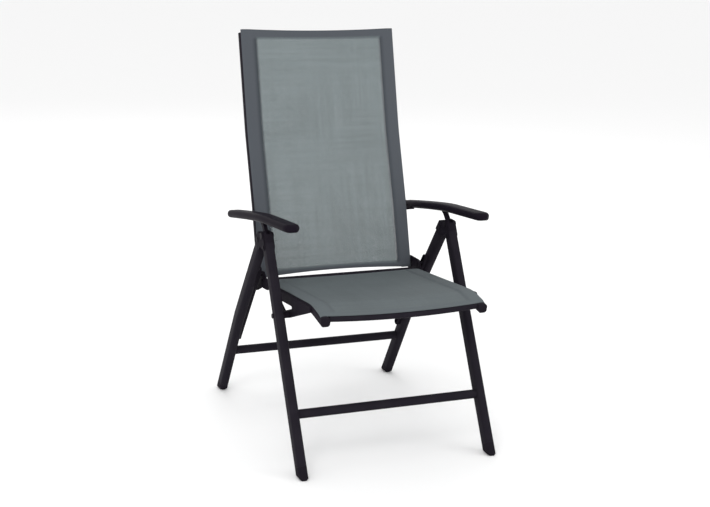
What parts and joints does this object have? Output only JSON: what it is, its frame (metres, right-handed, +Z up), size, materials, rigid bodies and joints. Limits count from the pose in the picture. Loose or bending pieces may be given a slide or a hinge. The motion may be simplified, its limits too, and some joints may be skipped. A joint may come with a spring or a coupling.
{
  "type": "folding sling patio chair",
  "caption": "Folding high-back patio chair with a tube frame, stretched mesh slings, a reclining back and curved armrests.",
  "frame": {"origin": "middle of the chair box on the floor", "axes": "+Z up, the seat faces -Y, +X is to the right seen from the front"},
  "size_m": [0.594, 0.7542, 1.0941],
  "materials": {
    "painted_tube": "dark powder coat, satin",
    "dark_plastic": "moulded, matt with a faint sheen",
    "armrest_plastic": "moulded, fine grain",
    "bare_steel": "dark zinc, dull",
    "seat_cloth": "coated mesh, plain weave",
    "back_cloth": "coated mesh, plain weave"
  },
  "bodies": {
    "front_frame": {"front_leg_right": "painted_tube", "front_leg_left": "painted_tube", "front_foot_right": "dark_plastic", "front_foot_left": "dark_plastic", "front_stretcher": "painted_tube", "front_leg_fork_right": "dark_plastic", "front_leg_fork_left": "dark_plastic", "hinge_plate_inner_right": "dark_plastic", "hinge_plate_inner_left": "dark_plastic", "hinge_plate_outer_right": "dark_plastic", "hinge_plate_outer_left": "dark_plastic", "plate_rivet_right": "bare_steel", "plate_rivet_left": "bare_steel", "seat_pivot_bolt_right": "bare_steel", "seat_pivot_bolt_left": "bare_steel"},
    "rear_frame": {"rear_leg_right": "painted_tube", "rear_leg_left": "painted_tube", "rear_foot_right": "dark_plastic", "rear_foot_left": "dark_plastic", "rear_stretcher": "painted_tube", "rear_leg_cap_right": "dark_plastic", "rear_leg_cap_left": "dark_plastic", "leg_hinge_pin_right": "bare_steel", "leg_hinge_pin_left": "bare_steel", "guide_track_right": "dark_plastic", "guide_track_left": "dark_plastic"},
    "seat": {"seat_rail_right": "painted_tube", "seat_rail_left": "painted_tube", "seat_rail_plug_right": "dark_plastic", "seat_rail_plug_left": "dark_plastic", "seat_rear_bar": "painted_tube", "seat_front_bar": "painted_tube", "seat_bracket_right": "dark_plastic", "seat_bracket_left": "dark_plastic", "seat_hinge_ear_right": "dark_plastic", "seat_hinge_ear_left": "dark_plastic", "seat_sling": "seat_cloth"},
    "hinge_links": {"hinge_link_right": "dark_plastic", "hinge_link_left": "dark_plastic", "link_bolt_right": "bare_steel", "link_bolt_left": "bare_steel", "hinge_pin_right": "bare_steel", "hinge_pin_left": "bare_steel", "guide_roller_right": "dark_plastic", "guide_roller_left": "dark_plastic"},
    "backrest": {"back_rail_right": "painted_tube", "back_rail_left": "painted_tube", "back_rail_plug_right": "dark_plastic", "back_rail_plug_left": "dark_plastic", "back_top_bar": "painted_tube", "back_bottom_bar": "painted_tube", "latch_pin_right": "bare_steel", "latch_pin_left": "bare_steel", "back_sling": "back_cloth"},
    "arm_pivots": {"arm_pivot_pin_right": "bare_steel", "arm_pivot_pin_left": "bare_steel"},
    "armrest_left": {"armrest_left": "armrest_plastic", "armrest_rack_left": "armrest_plastic"},
    "armrest_right": {"armrest_right": "armrest_plastic", "armrest_rack_right": "armrest_plastic"}
  },
  "joints": [
    {"name": "fold", "type": "hinge", "parent": "front_frame", "child": "rear_frame", "pos_m": [0, -0.0039, 0.55855], "axis": [1, 0, 0], "range_deg": [-60, 0]},
    {"name": "seat_fold", "type": "hinge", "parent": "front_frame", "child": "seat", "pos_m": [0, -0.13509, 0.37964], "axis": [1, 0, 0], "range_deg": [-116, 0]},
    {"name": "back_fold", "type": "hinge", "parent": "seat", "child": "hinge_links", "pos_m": [0, 0.08745, 0.43], "axis": [1, 0, 0], "range_deg": [0, 103.5]},
    {"name": "recline", "type": "hinge", "parent": "hinge_links", "child": "backrest", "pos_m": [0, 0.14416, 0.42933], "axis": [1, 0, 0], "range_deg": [-28, 0]},
    {"name": "armrest_tilt", "type": "hinge", "parent": "front_frame", "child": "arm_pivots", "pos_m": [0, -0.03801, 0.57746], "axis": [1, 0, 0], "range_deg": [-5.5, 0]},
    {"name": "armrest_lift_left", "type": "hinge", "parent": "arm_pivots", "child": "armrest_left", "pos_m": [0, -0.03801, 0.57746], "axis": [1, 0, 0], "range_deg": [0, 60]},
    {"name": "armrest_lift_right", "type": "hinge", "parent": "arm_pivots", "child": "armrest_right", "pos_m": [0, -0.03801, 0.57746], "axis": [1, 0, 0], "range_deg": [0, 60]}
  ],
  "couplings": [
    {"joint": "seat_fold", "follows": "fold", "ratio": 1.925},
    {"joint": "back_fold", "follows": "fold", "ratio": -1.72},
    {"joint": "armrest_tilt", "follows": "recline", "ratio": 0.185}
  ]
}
